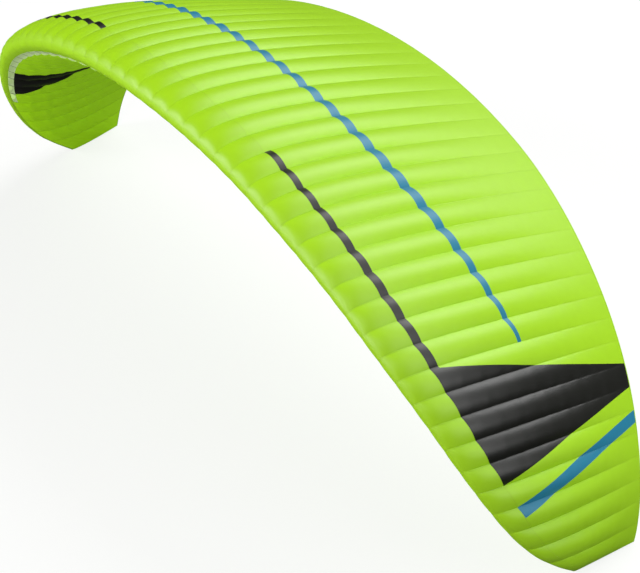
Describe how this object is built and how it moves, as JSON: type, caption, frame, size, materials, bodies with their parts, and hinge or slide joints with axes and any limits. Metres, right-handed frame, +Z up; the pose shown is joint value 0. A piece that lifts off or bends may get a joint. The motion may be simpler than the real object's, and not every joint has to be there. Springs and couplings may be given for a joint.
{
  "type": "paraglider wing",
  "caption": "Paraglider wing of ripstop cloth, filled with air into a long curved arch of swollen cells, without its lines.",
  "frame": {"origin": "middle of the wing's footprint, on the surface that its two tips stand on", "axes": "+X to the pilot's left tip, -Y to the nose, +Y to the trailing edge, +Z up"},
  "size_m": [8.6086, 2.7553, 3.2612],
  "materials": {
    "top_cloth": "satin coated ripstop",
    "nose_cloth": "satin coated ripstop, stiffer than the rest",
    "bottom_cloth": "satin coated ripstop",
    "rib_cloth": "stiff coated ripstop"
  },
  "bodies": {
    "root": {"top_right_tip": "top_cloth", "bottom_right_tip": "bottom_cloth", "top_right_outer": "top_cloth", "bottom_right_outer": "bottom_cloth", "top_centre": "top_cloth", "bottom_centre": "bottom_cloth", "top_left_outer": "top_cloth", "bottom_left_outer": "bottom_cloth", "top_left_tip": "top_cloth", "bottom_left_tip": "bottom_cloth", "nose_right_tip": "nose_cloth", "nose_right_outer": "nose_cloth", "nose_right_inner": "nose_cloth", "nose_centre": "nose_cloth", "nose_left_inner": "nose_cloth", "nose_left_outer": "nose_cloth", "nose_left_tip": "nose_cloth", "rib_left_01": "rib_cloth", "rib_right_01": "rib_cloth", "rib_left_02": "rib_cloth", "rib_right_02": "rib_cloth", "rib_left_03": "rib_cloth", "rib_right_03": "rib_cloth", "rib_left_04": "rib_cloth", "rib_right_04": "rib_cloth", "rib_left_05": "rib_cloth", "rib_right_05": "rib_cloth", "rib_left_06": "rib_cloth", "rib_right_06": "rib_cloth", "rib_left_07": "rib_cloth", "rib_right_07": "rib_cloth", "rib_left_08": "rib_cloth", "rib_right_08": "rib_cloth", "rib_left_09": "rib_cloth", "rib_right_09": "rib_cloth", "rib_left_10": "rib_cloth", "rib_right_10": "rib_cloth", "rib_left_11": "rib_cloth", "rib_right_11": "rib_cloth", "rib_left_12": "rib_cloth", "rib_right_12": "rib_cloth", "rib_left_13": "rib_cloth", "rib_right_13": "rib_cloth", "rib_left_14": "rib_cloth", "rib_right_14": "rib_cloth", "rib_left_15": "rib_cloth", "rib_right_15": "rib_cloth", "rib_left_16": "rib_cloth", "rib_right_16": "rib_cloth", "rib_left_17": "rib_cloth", "rib_right_17": "rib_cloth", "rib_left_18": "rib_cloth", "rib_right_18": "rib_cloth", "rib_left_19": "rib_cloth", "rib_right_19": "rib_cloth", "rib_left_20": "rib_cloth", "rib_right_20": "rib_cloth", "rib_left_21": "rib_cloth", "rib_right_21": "rib_cloth"}
  },
  "joints": []
}
